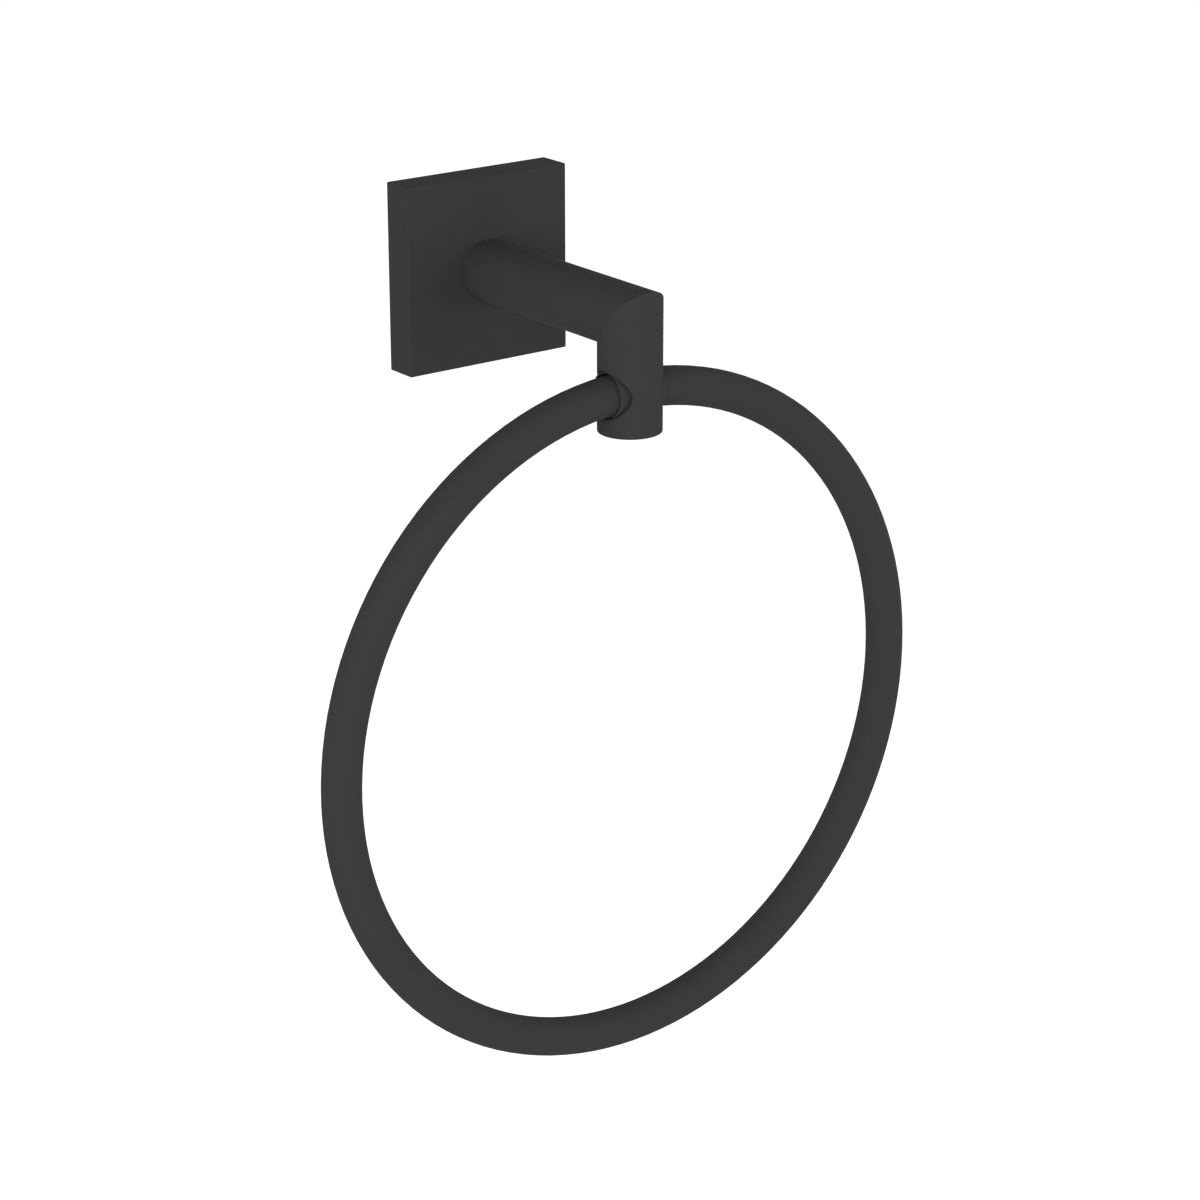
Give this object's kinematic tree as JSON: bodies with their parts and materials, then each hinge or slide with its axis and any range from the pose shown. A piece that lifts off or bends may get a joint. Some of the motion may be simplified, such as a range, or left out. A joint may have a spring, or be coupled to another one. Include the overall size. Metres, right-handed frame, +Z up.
{
  "type": "towel ring",
  "caption": "Wall-mounted towel ring: a square flange, a mitred round arm turned down into a post, and a ring that swings in thin bushes across the post.",
  "frame": {"origin": "middle of the square flange's back face, on the wall plane and on the arm's axis", "axes": "+X to the right seen from the room, +Y into the wall, +Z up; the arm stands out along -Y and the ring hangs below"},
  "size_m": [0.1856, 0.0781, 0.2241],
  "materials": {
    "black_coat": "matte black powder coat over metal",
    "zinc_plate": "zinc-plated, satin",
    "steel_fixings": "stainless steel, machined",
    "black_polymer": "matte black polymer"
  },
  "bodies": {
    "bracket_and_arm": {"wall_bracket": "zinc_plate", "flange_cover": "black_coat", "mitred_arm": "black_coat", "arm_washer": "steel_fixings", "arm_lock_washer": "steel_fixings", "arm_screw": "steel_fixings", "flange_set_screw": "steel_fixings", "ring_bush_left": "black_polymer", "ring_bush_right": "black_polymer", "ring_keeper_screw": "steel_fixings"},
    "ring": {"towel_ring": "black_coat", "ring_joiner": "steel_fixings"}
  },
  "joints": [
    {"name": "ring_swing", "type": "hinge", "parent": "bracket_and_arm", "child": "ring", "pos_m": [0, -0.0699, -0.0185], "axis": [-1, 0, 0], "range_deg": [-21, 201]}
  ]
}
